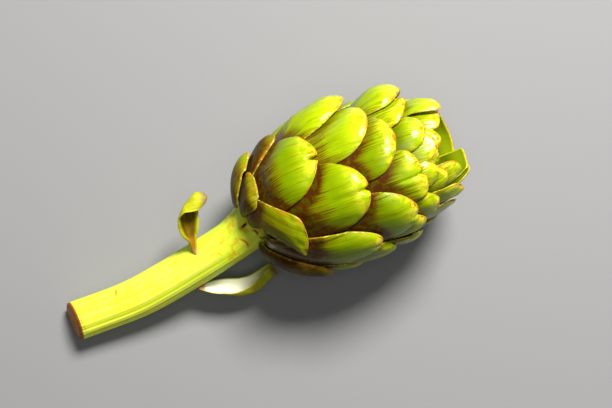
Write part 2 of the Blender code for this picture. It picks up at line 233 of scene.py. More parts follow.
def bractMaterial(name, finish):
    looks = bractLooks
    made = bpy.data.materials.new(name)
    made.use_nodes = True
    tree = made.node_tree
    shader = tree.nodes["Principled BSDF"]
    shader.inputs["Roughness"].default_value = finish["rough"]
    shader.inputs["Specular IOR Level"].default_value = finish["gloss"]
    place = addNode(tree, "ShaderNodeAttribute", {"attribute_name": "leafPlace"}).outputs["Vector"]
    rim = readValue(tree, "rimDistance")
    cover = readValue(tree, "coverDistance")
    fromTip = readValue(tree, "tipDistance")
    brown = readValue(tree, "browning")
    inside = readValue(tree, "inside")
    broad = useGroup(tree, softBlotches, Place=place, Scale=0.08, Low=0.35, High=0.65)
    fine = useGroup(tree, leafStreaks, Place=place, Across=1.3, Along=0.10, Low=0.30, High=0.70)
    # painted shade: deep green in the folds next to a covering bract, green over the middle, lime towards the
    # tip
    height = doMath(tree, "MULTIPLY_ADD", broad, 5.0, cover)
    colour = mixColour(tree, stretchRange(tree, height, *looks["green"]), leafLooks["deepGreenAndShade"],
                       leafLooks["green"])
    # partly painted highlight: lime towards the tip, in broad patches and per bract, lighter where the light
    # catches
    limeAt = doMath(tree, "MULTIPLY", stretchRange(tree, fromTip, *looks["lime"]), finish["limeShare"])
    limeAt = doMath(tree, "MULTIPLY_ADD", broad, looks["limeBroad"], limeAt)
    limeAt = doMath(tree, "ADD", limeAt, readValue(tree, "freshness"))
    limeAt = doMath(tree, "MULTIPLY", limeAt, doMath(tree, "MULTIPLY_ADD", fine, *looks["limeFine"]))
    limeAt = addNode(tree, "ShaderNodeClamp", Value=limeAt).outputs[0]
    colour = mixColour(tree, limeAt, colour, leafLooks["lime"])
    # a dry yellow patch at the tip, freckled with ochre
    patches = useGroup(tree, softBlotches, Place=place, Scale=0.20, Low=0.38, High=0.60)
    patchAt = doMath(tree, "MULTIPLY", stretchRange(tree, fromTip, *looks["patch"]), patches)
    colour = mixColour(tree, doMath(tree, "MULTIPLY", patchAt, finish["patchShare"]), colour,
                       leafLooks["yellow"])
    freckles = useGroup(tree, softBlotches, Place=place, Scale=0.55, Low=0.50, High=0.64)
    freckleAt = doMath(tree, "MULTIPLY", freckles, stretchRange(tree, fromTip, *looks["freckle"]))
    freckleAt = doMath(tree, "MULTIPLY", freckleAt, finish["patchShare"])
    freckleAt = doMath(tree, "MULTIPLY", freckleAt, looks["freckleShare"])
    colour = mixColour(tree, freckleAt, colour, leafLooks["ochre"])
    # bronze, umber and maroon rise out of the folds in streaks, partly painted shade where they follow the fold
    # under a covering bract
    streak = useGroup(tree, leafStreaks, Place=place, Across=2.0, Along=0.055, Detail=5.0, Low=0.30,
                      High=0.70)
    flow = doMath(tree, "MULTIPLY_ADD", doMath(tree, "SUBTRACT", streak, 0.5), finish["streak"], brown)
    flow = doMath(tree, "MULTIPLY_ADD", doMath(tree, "SUBTRACT", broad, 0.5), looks["flowBroad"], flow)
    for shade, low, high, most in looks["browns"]:
        brownAt = doMath(tree, "MULTIPLY", stretchRange(tree, flow, low, high), most)
        colour = mixColour(tree, brownAt, colour, leafLooks[shade])
    lines = useGroup(tree, leafStreaks, Place=place, Across=2.6, Along=0.035, Detail=1.0, Low=0.56,
                     High=0.68)
    lineZone = doMath(tree, "MULTIPLY", stretchRange(tree, flow, *looks["lineFlow"]),
                      stretchRange(tree, fromTip, *looks["lineTip"]))
    lineAt = doMath(tree, "MULTIPLY", doMath(tree, "MULTIPLY", lines, lineZone),
                    looks["lineShare"] * finish["streak"])
    colour = mixColour(tree, lineAt, colour, leafLooks["maroon"])
    mottle = useGroup(tree, softBlotches, Place=place, Scale=0.35, Low=0.45, High=0.62)
    mottleAt = doMath(tree, "MULTIPLY", mottle, stretchRange(tree, flow, *looks["mottle"]))
    colour = mixColour(tree, doMath(tree, "MULTIPLY", mottleAt, looks["mottleShare"]), colour,
                       leafLooks["deepGreenAndShade"])
    # specks, and the rim: ochre here and there, pale at the very edge
    specks = useGroup(tree, leafSpecks, Place=place, Scale=0.42, Size=0.5, Amount=0.35)
    colour = mixColour(tree, doMath(tree, "MULTIPLY", specks, looks["speckShare"]), colour,
                       leafLooks["rust"])
    edgeZone = doMath(tree, "MULTIPLY", stretchRange(tree, rim, *looks["edge"]),
                      doMath(tree, "MULTIPLY_ADD", patches, *looks["edgePatch"]))
    edgeZone = doMath(tree, "MULTIPLY", edgeZone, stretchRange(tree, fromTip, *looks["edgeTip"]))
    colour = mixColour(tree, edgeZone, colour, leafLooks["ochre"])
    paleRim = doMath(tree, "MULTIPLY", stretchRange(tree, rim, *looks["paleRim"]),
                     doMath(tree, "MULTIPLY_ADD", freckles, *looks["paleFreckle"]))
    colour = mixColour(tree, paleRim, colour, leafLooks["cream"])
    # the smooth inner face, its colours darkened as painted shade, deepest away from the tip
    innerColour = mixColour(tree, stretchRange(tree, fromTip, *looks["inner"]), leafLooks["inside"],
                            leafLooks["insideDeepShade"])
    innerRim = doMath(tree, "MULTIPLY", stretchRange(tree, rim, *looks["innerRim"]), looks["innerRimShare"])
    innerColour = mixColour(tree, innerRim, innerColour, leafLooks["yellow"])
    colour = mixColour(tree, inside, colour, innerColour)
    tree.links.new(colour, shader.inputs["Base Color"])
    ribs = useGroup(tree, leafStreaks, Place=place, Across=1.0, Along=0.03, Detail=2.0, Low=0.2, High=0.8)
    grain = doMath(tree, "MULTIPLY_ADD", fine, looks["grainFine"], ribs)
    bump = addNode(tree, "ShaderNodeBump", Height=grain, Strength=finish["grain"],
                   Distance=looks["grainDepth"])
    tree.links.new(bump.outputs[0], shader.inputs["Normal"])
    return made


finishes = {kind: bractMaterial(kind + "BractSkin", finish) for kind, finish in bractFinishes.items()}
print("bract skins mixed:", len(finishes))


# the head's shape in millimetres: a station is a distance along its axis from the centre of its base

headShape = {
    "radius": 40.0, "back": -10.0, "widest": 44.0, "front": 105.0,
    "backPower": 2.6, "backRoot": 0.36, "frontPower": 2.8, "frontRoot": 0.64,
    "tilt": 12.0, "budMiddle": 54.75,
    "flatShare": 0.10, "flatAngle": 100.0, "flatFrom": 35.0, "flatTo": 85.0,
    "layerStep": 1.9, "layerShrink": 0.025, "fleshShare": 0.80,
    "sideLayers": 6, "tipLayers": 9, "tipLayerPower": 7,
    "heartGap": 1.2, "behindHeart": 14.6, "aheadOfHeart": 0.6,
}
heartShape = [(-10.0, 10.4, -3.0), (-6.0, 12.5, -2.0), (0.0, 18.0, -0.6), (7.0, 20.0, 0.0), (13.0, 16.5,
                                                                                             0.0),
              (16.5, 8.0, 0.0)]  # station, radius, how far to the side

share = -np.cos(np.linspace(0, math.pi, 721))
isBack = share < 0
reach = np.where(isBack, headShape["widest"] - headShape["back"], headShape["front"] - headShape["widest"])
fall = np.abs(share) ** np.where(isBack, headShape["backPower"], headShape["frontPower"])
outlineStation = headShape["widest"] + share * reach
outlineRadius = headShape["radius"] * (1 - fall) ** np.where(isBack, headShape["backRoot"],
                                                             headShape["frontRoot"])
outlineRun = np.concatenate(([0], np.cumsum(np.hypot(np.diff(outlineStation), np.diff(outlineRadius)))))
outlineSlope = np.unwrap(np.arctan2(np.gradient(outlineRadius), np.gradient(outlineStation)))

budLow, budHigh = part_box("inner_bud")
tilt = math.radians(headShape["tilt"])
headAxis = np.array((math.cos(tilt), 0, math.sin(tilt)))
headUp = np.array((-math.sin(tilt), 0, math.cos(tilt)))
headRight = np.array((0.0, -1.0, 0.0))
headBase = np.array((budLow + budHigh) / 2) / mm - headAxis * headShape["budMiddle"]


def layerDepth(layer):
    return layer * (headShape["layerStep"] - headShape["layerShrink"] * layer)


def surfaceLayer(station):
    along = np.clip(station, 0, None) / 100
    return headShape["sideLayers"] * along + headShape["tipLayers"] * along ** headShape["tipLayerPower"]


def fleshThickness(layer):
    return headShape["fleshShare"] * (layerDepth(layer + 1) - layerDepth(layer))


def shellOutline(layer):
    depth = layerDepth(layer) - layerDepth(surfaceLayer(outlineStation))
    return outlineStation + np.sin(outlineSlope) * depth, outlineRadius - np.cos(outlineSlope) * depth


def startingRun(layer):  # where a layer leaves the heart
    stations, radii, sideways = np.array(heartShape).T
    shellStation, shellRadius = shellOutline(layer)
    heartRadius = np.interp(shellStation, stations, radii + np.abs(sideways) + headShape["heartGap"],
                            left=headShape["behindHeart"], right=headShape["aheadOfHeart"])
    touching = (shellRadius < heartRadius) & (outlineStation < headShape["widest"])
    return outlineRun[np.flatnonzero(touching)[-1] + 1]


# a place in the room for each run and angle on a layer, in metres
def headPoint(layer, run, angle, outwards):
    shellStation, shellRadius = shellOutline(layer)
    slope = np.interp(run, outlineRun, outlineSlope)
    along = np.interp(run, outlineRun, shellStation) - np.sin(slope) * outwards
    out = np.interp(run, outlineRun, shellRadius) + np.cos(slope) * outwards
    flat = np.clip((along - headShape["flatFrom"]) / (headShape["flatTo"] - headShape["flatFrom"]), 0, 1)
    lean = np.clip(np.cos(angle - math.radians(headShape["flatAngle"])), 0, None) ** 2
    out = out * (1 - headShape["flatShare"] * flat * lean)
    place = (headBase + along[:, None] * headAxis + (out * np.sin(angle))[:, None] * headRight
             + (out * np.cos(angle))[:, None] * headUp)
    place[:, 2] = np.maximum(place[:, 2], 0)
    return place * mm


# bracts: one blank, modelled once, laid on the head's shells
blankShape = {"columns": 56, "rows": 60, "youngColumns": 40, "youngRows": 36, "step": 0.5,
              "crowding": 0.6}


def modelBlank(columns, rows):  # a flat closed sheet: across in x, base to tip in y, outer face up
    bpy.ops.mesh.primitive_grid_add(x_subdivisions=columns, y_subdivisions=rows, size=2, location=(0, 0, 0))
    made = bpy.context.active_object
    bpy.ops.object.mode_set(mode="EDIT")
    bpy.ops.mesh.select_all(action="SELECT")
    for layer in ("middle", "inner face"):
        bpy.ops.mesh.extrude_region_move(TRANSFORM_OT_translate={"value": (0, 0, -blankShape["step"])})
    bpy.ops.mesh.select_all(action="SELECT")
    bpy.ops.mesh.normals_make_consistent(inside=False)
    bpy.ops.object.mode_set(mode="OBJECT")
    bpy.ops.object.shade_smooth()
    made.name = "bractBlank"
    return made


def copyPiece(source, name, finish):
    made = source.copy()
    made.data = source.data.copy()
    made.name = name
    made.data.name = name
    bpy.context.scene.collection.objects.link(made)
    made.data.materials.clear()
    made.data.materials.append(finish)
    return made


# angle round the head in degrees (0 on top, rising towards the right side), station of the tip, half the
# width in
# degrees, how blunt the tip is, and then what sets one bract apart from the next
usual = {
    "skew": 0.0, "lift": 0.0, "liftPower": 5, "bulge": 1.0, "notch": 0.0, "notchWide": 1.2, "notchAt": 0.0,
    "crease": 0.0, "wave": 0.45, "tone": 0.5, "brownFrom": 16.0, "stainAndShade": 0.0, "press": 1.3, "lean": 0.0,
    "crimp": 0.52, "ridges": 0.14, "fresh": 0.0,
}
# extra lime given to a bract is partly its own colour and partly painted light on the bracts that face the light
bractRows = {
    # the extra brown of the base bracts is partly painted shade
    "base_bract_01": dict(angle=-63, tip=6, half=37, blunt=4.4, tone=0.9, stainAndShade=0.66),
    "base_bract_02": dict(angle=205, tip=9, half=28, blunt=4.4, tone=0.7),
    "base_bract_03": dict(angle=-24.5, tip=7.0, half=20, blunt=6.5, tone=0.6, stainAndShade=0.82, bulge=0.4),
    "base_bract_04": dict(angle=122, tip=11, half=28, blunt=4.4, tone=0.7),
    "base_bract_05": dict(angle=243, tip=19, half=28, blunt=4.4, tone=0.7),
    "base_bract_06": dict(angle=-62, tip=22, half=28, blunt=3.3, tone=0.9, stainAndShade=0.90, bulge=0.6,
                          press=0),
    "base_bract_07": dict(angle=163, tip=23, half=28, blunt=4.4, tone=0.7),
    "base_bract_08": dict(angle=30, skew=1.35, tip=23.4, half=16.5, blunt=9.0, lean=-0.35, lift=1.5,
                          tone=0.6, stainAndShade=0.48, bulge=0.2, press=0),
    "base_bract_09": dict(angle=74.5, tip=25, half=25, blunt=3.0, lift=1.6, liftPower=14, tone=0.9,
                          stainAndShade=0.8),
    "outer_bract_01": dict(angle=-27, tip=41, half=32, blunt=5.4, notch=5.5, notchWide=0.9, notchAt=1.8,
                          tone=1.0, brownFrom=12),
    "outer_bract_02": dict(angle=106, tip=41, half=30, blunt=4.4),
    "outer_bract_03": dict(angle=249, tip=42, half=30, blunt=4.4),
    "outer_bract_04": dict(angle=178, tip=43, half=30, blunt=4.4),
    "outer_bract_05": dict(angle=51, tip=54.5, half=20, blunt=3.2, tone=0.8, stainAndShade=0.12),
    "outer_bract_06": dict(angle=141, tip=55, half=30, blunt=4.4),
    "outer_bract_07": dict(angle=74, tip=57, half=28, blunt=4.2, stainAndShade=0.15),
    "outer_bract_08": dict(angle=-74, tip=57.5, half=31, blunt=4.8, lift=0.8, tone=0.4, bulge=3.2,
                          press=0, fresh=0.55),
    "outer_bract_09": dict(angle=215, tip=58, half=30, blunt=4.4),
    "outer_bract_10": dict(angle=7, tip=59, half=28, blunt=5.0, notch=2.2, notchWide=1.2, notchAt=1.2,
                          crease=0.9, tone=1.0, brownFrom=14),
    "middle_bract_01": dict(angle=-43, tip=67.5, half=28, blunt=5.6, tone=0.25, fresh=0.5),
    "middle_bract_02": dict(angle=149, tip=71, half=27, blunt=4.2),
    "middle_bract_03": dict(angle=242, tip=67, half=25, blunt=4.2),
    "middle_bract_04": dict(angle=92, tip=70, half=27, blunt=4.2),
    "middle_bract_05": dict(angle=210, tip=72, half=27, blunt=4.2),
    "middle_bract_06": dict(angle=37, tip=75, half=26, blunt=4.4, tone=0.9, brownFrom=12),
    "middle_bract_07": dict(angle=60, tip=76, half=25, blunt=4.0),
    "middle_bract_08": dict(angle=-22, tip=77, half=28, blunt=5.8, tone=0.9, brownFrom=11, fresh=-0.35),
    "middle_bract_09": dict(angle=181, tip=79, half=26, blunt=4.2),
    "middle_bract_10": dict(angle=236, tip=79, half=26, blunt=4.2),
    "middle_bract_11": dict(angle=116, tip=80, half=26, blunt=4.2),
    "middle_bract_12": dict(angle=12, tip=84, half=23, blunt=6.8, notch=2.0, notchWide=1.3, crease=1.3,
                          notchAt=1.2, lean=0.12, tone=1.0, brownFrom=10, ridges=0.35, fresh=-0.1),
    "middle_bract_13": dict(angle=-85, tip=82.5, half=31, blunt=8.0, lift=1.2, bulge=3.8, press=0,
                          tone=0.2, crimp=0.6, fresh=0.45),
    "middle_bract_14": dict(angle=48, tip=85.5, half=22, blunt=4.0),
    "middle_bract_15": dict(angle=-57, tip=84.5, half=26, blunt=6.4, lift=1.8, bulge=1.6, press=0,
                          tone=0.2, fresh=0.6),
    "crown_bract_01": dict(angle=18, tip=90, half=19, blunt=2.8, tone=0.3, ridges=0.3),
    "crown_bract_02": dict(angle=80, tip=90, half=23, blunt=3.4),
    "crown_bract_03": dict(angle=130, tip=90, half=23, blunt=3.4),
    "crown_bract_04": dict(angle=242, tip=87, half=22, blunt=3.4),
    "crown_bract_05": dict(angle=-26, tip=90.5, half=21, blunt=4.4, tone=0.1, bulge=1.5, ridges=0.45),
    "crown_bract_06": dict(angle=180, tip=91, half=23, blunt=3.4),
    "crown_bract_07": dict(angle=230, tip=91, half=23, blunt=3.4),
    "crown_bract_08": dict(angle=-9, tip=93.3, half=20, blunt=3.6, tone=0.1, bulge=1.4, ridges=0.4),
    "crown_bract_09": dict(angle=30, tip=93, half=20, blunt=3.4, tone=0.2, ridges=0.3),
    "crown_bract_10": dict(angle=55, tip=94.0, rank=92.9, layer=10.75, half=14.5, blunt=3.2, press=0,
                          tone=0.2, bulge=0.2, lift=1.5, liftPower=2),
    "crown_bract_11": dict(angle=105, tip=94, half=23, blunt=3.4),
    "crown_bract_12": dict(angle=-52, tip=97.0, half=25, blunt=7.0, lift=0.6, tone=0.1, press=0,
                          bulge=1.0, crimp=0.45),
    "crown_bract_13": dict(angle=143, tip=100.0, half=28, blunt=8.0, press=0, wave=0.8),
    "crown_bract_14": dict(angle=-77, tip=95.6, half=26, blunt=8.0, lean=0.4, lift=2.4, liftPower=3,
                          tone=0.1, press=0, bulge=1.5, crimp=0.45, fresh=0.2),
    "crown_bract_15": dict(angle=203, tip=96.0, half=38, blunt=13.0, press=0, wave=0.8),
    "crown_bract_16": dict(angle=240, tip=92.5, half=28, blunt=8.0, press=0, wave=0.6),
    "crown_bract_17": dict(angle=33, tip=97.5, half=17, blunt=3.4, tone=0.1),
    "crown_bract_18": dict(angle=-15, tip=95.5, half=25, blunt=3.0, tone=0.1),
    "crown_bract_19": dict(angle=118, tip=99.5, half=28, blunt=6.0, press=0, wave=0.6),
    "crown_bract_20": dict(angle=-130, tip=89, half=22, blunt=3.4, bulge=0.3),
}
skewReach = 24  # mm down from the tip over which a skewed bract leans
coverGap = 2.0  # degrees round the head within which two bracts count as overlapping
# how every bract is formed, in mm unless it is a share or a power; each pitch is a wave's, across and along
bractForm = {
    "rowCrowd": 1.6, "tipShare": 0.45, "sagReach": 2.2, "widthPower": 6, "outlineSteps": 90,
    "waveEdge": 3, "wavePitch": (0.35, 0.2), "turnPitch": (0.2, 0.35), "notchReach": 2.5, "leanReach": 8,
    "farCover": 30.0, "nearDegrees": 14, "underEdge": 1.5, "clearance": 0.35, "smoothSteps": 12,
    "sunkShare": 0.85, "bulgeCover": 14, "bulgeEdge": 11, "innerBulge": 0.4, "tuckEdge": 9,
    "rimEdge": 3.2, "rimThick": 0.4, "liftCover": 5, "creaseWide": 0.9, "creaseReach": (24, 2),
    "soft": 0.22, "softPitch": (0.16, 0.14), "softCover": 6, "softEdge": 5,
    "crimpEdge": 2.5, "crimpReach": (16, 3), "crimpPitch": (1.1, 1.1),
    "ridgePitch": (0.9, 0.07), "ridgeCover": (1, 7), "ridgeEdge": 3,
    "outerSide": -0.25, "middleSide": -0.75, "placeStep": 23.7,
}
# where a bract browns: towards its foot and in the fold under its neighbour, less at its tip; the brown in the
# fold is partly painted shade
brownForm = {"fold": 0.80, "foldCover": 8, "foldTip": 0.40, "foldFoot": (6, 20), "toneLeast": 0.4,
             "toneShare": 0.9,
             "foot": 0.90, "footReach": 20, "tip": 0.35, "tipReach": (7, 1)}
freshStep = 0.05  # how much one bract differs in lime from the next


def angleApart(first, second):
    return (first - second + 180) % 360 - 180


def sideBySide(row, other, gap):
    return abs(angleApart(row["spanMiddle"], other["spanMiddle"])) < row["spanHalf"] + other["spanHalf"] + gap


def prepareBracts(rows):  # adds each bract's layer and outline, from the lowest tip to the highest
    found = [{**usual, **row, "name": name} for name, row in rows.items()]
    found.sort(key=lambda row: row.get("rank", row["tip"]))
    for place, row in enumerate(found):
        row["seed"] = place + 1
        row["spanMiddle"] = row["angle"] - row["skew"] * skewReach / 2
        row["spanHalf"] = row["half"] + row["skew"] * skewReach / 2
        below = [other["layer"] for other in found[:place] if sideBySide(row, other, coverGap)]
        row["layer"] = row.get("layer", max([surfaceLayer(row["tip"]), *(layer + 1 for layer in below)]))
        row["start"] = startingRun(row["layer"])
        row["end"] = np.interp(row["tip"], outlineStation, outlineRun)
    return found


def middleAngle(row, run):  # a skewed bract leans to one side as it comes down from its tip
    return math.radians(row["angle"]) - np.radians(row["skew"] * np.clip(row["end"] - run, 0, skewReach))


# half a bract's width in radians at a run: a rounded tip that widens to full width
def halfAngle(row, run):
    full = math.radians(row["half"])
    radius = np.interp(run, outlineRun, outlineRadius)
    tipHalf = row["blunt"] * np.sqrt(np.clip(row["end"] - run, 1e-4, None)) / radius
    power = bractForm["widthPower"]
    return full * (1 + (full / tipHalf) ** power) ** (-1 / power)


# how far outside a bract's outline a place on the head lies, in mm; inside is minus
def outlineGap(row, run, angle):
    edgeRun = row["end"] - (row["end"] - row["start"]) * np.linspace(0, 1, bractForm["outlineSteps"]) ** 2
    edgeHalf = halfAngle(row, edgeRun)
    edgeLean = middleAngle(row, edgeRun) - math.radians(row["angle"])
    radius = np.interp(run, outlineRun, outlineRadius)
    aside = (angle - math.radians(row["angle"]) + math.pi) % (2 * math.pi) - math.pi
    gap = np.full(run.shape, 1e9)
    for knotRun, knotHalf, lean in zip(edgeRun, edgeHalf, edgeLean):
        gap = np.minimum(gap, (run - knotRun) ** 2 + ((np.abs(aside - lean) - knotHalf) * radius) ** 2)
    lean = middleAngle(row, run) - math.radians(row["angle"])
    inside = (run < row["end"]) & (np.abs(aside - lean) < halfAngle(row, run))
    return np.where(inside, -1, 1) * np.sqrt(gap)


def bractBrowningAndShade(row, cover, distance):
    form = brownForm
    footFold = form["foldTip"] + (1 - form["foldTip"]) * ease(*form["foldFoot"], distance)
    fold = form["fold"] * ease(form["foldCover"], 0, cover) * footFold
    fold = fold * (form["toneLeast"] + form["toneShare"] * row["tone"])
    foot = form["foot"] * row["tone"] * ease(row["brownFrom"], row["brownFrom"] + form["footReach"],
                                             distance)
    return fold + foot - form["tip"] * ease(*form["tipReach"], distance) + row["stainAndShade"]


def shapeBract(row, blank, everyRow, finish):
    form = bractForm
    piece = copyPiece(blank, row["name"], finish)
    u, v, side = blankGrid(piece.data)
    length = row["end"] - row["start"]
    middleDistance = length * (1 - v) ** form["rowCrowd"]
    tipRadius = np.interp(row["end"], outlineRun, outlineRadius)
    sag = (form["tipShare"] * math.radians(row["half"]) * tipRadius / row["blunt"]) ** 2
    sideDistance = middleDistance + sag * np.exp(-middleDistance / (form["sagReach"] * sag))
    sideDistance = np.minimum(sideDistance, length)
    distance = middleDistance + (sideDistance - middleDistance) * u ** 2
    wide = halfAngle(row, row["end"] - sideDistance)
    run = row["end"] - distance
    radius = np.interp(run, outlineRun, outlineRadius)
    angle = middleAngle(row, run) + u * wide
    across = u * wide * radius
    edge = np.clip(-outlineGap(row, run, angle), 0, None)

    def wave(seedStep, pitch):
        return ripple(row["seed"] + seedStep, across * pitch[0], distance * pitch[1])

    # the outline wavers a little, and may have a notch at the tip
    nearEdge = np.exp(-edge / form["waveEdge"])
    notch = np.exp(-((across - row["notchAt"]) / row["notchWide"]) ** 2) * np.exp(-distance / form["notchReach"])
    run = run - row["notch"] * notch
    run = run + row["lean"] * across * np.exp(-distance / form["leanReach"])
    run = run + row["wave"] * nearEdge * wave(0, form["wavePitch"])
    angle = angle + row["wave"] * nearEdge * wave(99, form["turnPitch"]) / radius
    run = np.clip(run, row["start"], None)
    # how far each place is from the bracts that cover it, and how much room there is over those below
    cover = np.full(run.shape, form["farCover"])
    below = np.full(run.shape, 0.0)
    flesh = fleshThickness(row["layer"])
    for other in everyRow:
        if other is row or not sideBySide(row, other, form["nearDegrees"]):
            continue
        gap = outlineGap(other, run, angle)
        if other["layer"] < row["layer"]:
            cover = np.minimum(cover, gap)
        else:
            room = layerDepth(other["layer"]) - layerDepth(row["layer"]) - flesh - form["clearance"]
            least = np.where(below == 0, room, np.minimum(below, room))
            below = np.where(gap < form["underEdge"], least, below)
    cover = np.clip(cover, 0, form["farCover"])
    below = np.clip(smoothGrid(below, u, v, side), 0, row["press"])
    # it bulges where nothing covers it, and its edges are pressed on what lies below
    sunk = layerDepth(row["layer"]) - layerDepth(surfaceLayer(row["tip"]))
    bulge = (row["bulge"] + form["sunkShare"] * sunk) * ease(0, form["bulgeCover"], cover)
    bulge = bulge * (1 - np.clip(1 - edge / form["bulgeEdge"], 0, 1) ** 2)
    tuck = below * np.clip(1 - edge / form["tuckEdge"], 0, 1) ** 2
    rimShare = np.clip(1 - edge / form["rimEdge"], 0, 1)
    thin = (1 - np.sqrt(np.clip(1 - rimShare ** 2, 0, 1))) * (flesh - form["rimThick"])
    lift = row["lift"] * (1 - distance / length) ** row["liftPower"] * ease(0, form["liftCover"], cover)
    crease = row["crease"] * np.exp(-((across - row["notchAt"]) / form["creaseWide"]) ** 2)
    crease = crease * ease(*form["creaseReach"], distance)
    soft = form["soft"] * wave(7, form["softPitch"]) * ease(0, form["softCover"], cover)
    crimp = row["crimp"] * np.exp(-edge / form["crimpEdge"]) * ease(*form["crimpReach"], distance)
    crimp = crimp * wave(31, form["crimpPitch"])
    ridges = row["ridges"] * wave(57, form["ridgePitch"]) * ease(*form["ridgeCover"], cover)
    outer = bulge - tuck + lift + soft * np.clip(edge / form["softEdge"], 0, 1) + crimp
    outer = outer + ridges * np.clip(edge / form["ridgeEdge"], 0, 1)
    inner = bulge * form["innerBulge"] - tuck + lift - flesh
    outwards = np.where(side > form["middleSide"], outer - (flesh + thin) / 2, inner)
    outwards = np.where(side > form["outerSide"], outer - thin - crease, outwards)
    writePoints(piece.data, headPoint(row["layer"], run, angle, outwards))
    place = np.stack((across, distance, np.full(run.shape, row["seed"] * form["placeStep"])), 1)
    # part of this lime lift is painted light on the bracts that face the light
    fresh = row["fresh"] + freshStep * (row["seed"] * 7 % 5 - 2)
    writeValues(piece.data, leafPlace=place, rimDistance=edge, coverDistance=cover, tipDistance=distance,
                browning=bractBrowningAndShade(row, cover, distance), freshness=np.full(run.shape, fresh),
                inside=(side < form["middleSide"]).astype(float))
    return piece


def blankGrid(mesh):  # the blank's own coordinates, with the columns crowded towards the edges
    flat = readPoints(mesh)
    crowding = blankShape["crowding"]
    u = (1 - crowding) * flat[:, 0] + crowding * np.sin(flat[:, 0] * math.pi / 2)
    return u, (flat[:, 1] + 1) / 2, flat[:, 2]


def smoothGrid(value, u, v, side):  # evens a value out over the sheet's columns and rows
    columns, columnAt = np.unique(np.round(u, 5), return_inverse=True)
    rows, rowAt = np.unique(np.round(v, 5), return_inverse=True)
    total = np.zeros((len(columns), len(rows)))
    count = np.zeros_like(total)
    np.add.at(total, (columnAt, rowAt), value)
    np.add.at(count, (columnAt, rowAt), 1)
    grid = total / np.maximum(count, 1)
    for step in range(bractForm["smoothSteps"]):
        padded = np.pad(grid, 1, mode="edge")
        grid = (padded[:-2, 1:-1] + padded[2:, 1:-1] + padded[1:-1, :-2] + padded[1:-1, 2:] + grid * 2) / 6
    return grid[columnAt, rowAt]


bractBlank = modelBlank(blankShape["columns"], blankShape["rows"])
youngBlank = modelBlank(blankShape["youngColumns"], blankShape["youngRows"])
allBracts = prepareBracts(bractRows)
for row in allBracts:
    kind = row["name"].split("_")[0]
    bract = shapeBract(row, bractBlank, allBracts, finishes[kind])
    bract.name = row["name"] + "_leaf"
    settle(bract, kind + "_bract", row["name"])
print("bracts laid on the head:", len(allBracts))


# young bracts in the middle of the head, which sink a little along its axis
youngBracts = {"count": 22, "turn": 137.5, "firstLayer": 17.5, "layerRise": 0.62, "firstTip": 94.0,
               "tipRise": 0.5,
               "half": 36, "halfRise": 2.2, "blunt": 5.0, "sink": 8.0, "bulge": 0.8, "tone": 0.1}


def makeYoungBracts():
    rows = {}
    for number in range(youngBracts["count"]):
        rows[f"young_{number:02d}"] = dict(
            angle=youngBracts["turn"] * number, tip=youngBracts["firstTip"] + youngBracts["tipRise"]
            * number,
            half=youngBracts["half"] + youngBracts["halfRise"] * number, blunt=youngBracts["blunt"],
            layer=youngBracts["firstLayer"] + youngBracts["layerRise"] * number,
            bulge=youngBracts["bulge"], tone=youngBracts["tone"])
    found = prepareBracts(rows)
    made = [shapeBract(row, youngBlank, found, finishes["crown"]) for row in found]
    for piece in made:
        writePoints(piece.data, readPoints(piece.data) - headAxis * youngBracts["sink"] * mm)
    return made


young = makeYoungBracts()
onlySelect(*young)
bpy.ops.object.join()
innerBud = bpy.context.active_object
innerBud.name = "inner_bud_leaves"
settle(innerBud, "inner_bud", "inner_bud")
print("young bracts:", len(young))


# the stem, grown as one piece with the heart
stemShape = {
    # from the heart down to the cut: x, y, z from the head's base, and the radius
    "path": [(9.0, 0.0, 1.9, 15.0), (0.0, -0.9, 0.0, 14.0), (-8.0, -3.6, -1.8, 11.3), (-19.0, -7.3, -4.6,
                                                                                       10.0),
             (-36.0, -11.2, -9.4, 10.1), (-56.0, -15.2, -14.4, 10.0), (-76.0, -17.8, -18.4, 9.8),
             (-105.6, -18.1, -21.7, 9.7)],
    "around": 360, "along": 192, "cutRings": 8, "cuts": (1, 99), "lineSteps": 400,
    "ribs": 15, "ribDepth": 0.15, "ribFrom": (10, 40), "fineRibs": 36, "fineDepth": 0.05, "fineFrom": (15,
                                                                                                       45),
    "lumpDepth": 0.35, "lumpFrom": (5, 20), "scarFull": 0.6, "scarBow": 0.12, "lipShare": 0.5,
    "lipReach": 1.6,
    "cutSlant": -0.50, "slantReach": 8, "rimProud": 0.7, "pithSink": 0.5, "pithFrom": (0.35, 0.8),
}
# slits and scars where small leaves were: how far from the head's base down the stem in mm, the angle round
# it in
# degrees (0 on top, rising towards the right side), half length across and along in mm, depth in mm
stemScars = [(7.0, -9, 0.7, 2.2, 0.8), (4.5, 20, 2.0, 0.6, 0.8), (5.0, 41, 1.5, 0.6, 0.5), (12.0, 27, 3.4,
                                                                                            0.5, 0.4),
             (83.0, -43, 2.2, 0.8, 0.3)]


def smoothCurve(knots, count):  # an even, smooth run of values through a list of points
    knots = np.array(knots, float)
    padded = np.vstack((2 * knots[0] - knots[1], knots, 2 * knots[-1] - knots[-2]))
    spot = np.linspace(0, len(knots) - 1, count)
    first = np.clip(spot.astype(int), 0, len(knots) - 2)
    t = (spot - first)[:, None]
    a, b, c, d = (padded[first + step] for step in range(4))
    return 0.5 * (2 * b + (c - a) * t + (2 * a - 5 * b + 4 * c - d) * t ** 2 + (3 * b - a - 3 * c + d)
                  * t ** 3)


